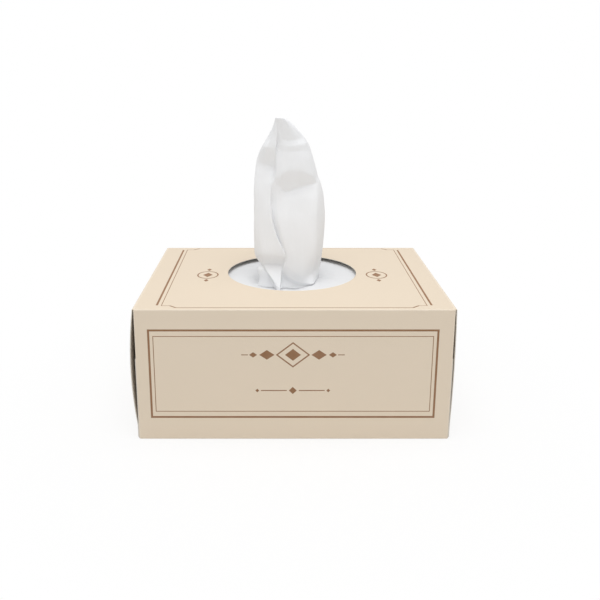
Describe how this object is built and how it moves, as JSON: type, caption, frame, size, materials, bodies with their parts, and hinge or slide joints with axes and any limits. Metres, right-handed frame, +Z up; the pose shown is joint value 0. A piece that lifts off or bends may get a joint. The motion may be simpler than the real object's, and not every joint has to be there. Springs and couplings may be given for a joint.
{
  "type": "tissue box",
  "caption": "Folded board carton of interfolded facial tissues with an oval opening in its top and a tissue drawn up through it.",
  "frame": {"origin": "middle of the carton's base, where it stands", "axes": "+X to the right along the long side, +Y from the printed front panel to the back, +Z up"},
  "size_m": [0.2125, 0.134, 0.206],
  "materials": {
    "printed_board": "smooth, faintly coated",
    "tissue_paper": "soft, matt, finely creped"
  },
  "bodies": {
    "root": {"carton": "printed_board", "tissue_pile": "tissue_paper", "raised_tissue": "tissue_paper"}
  },
  "joints": []
}
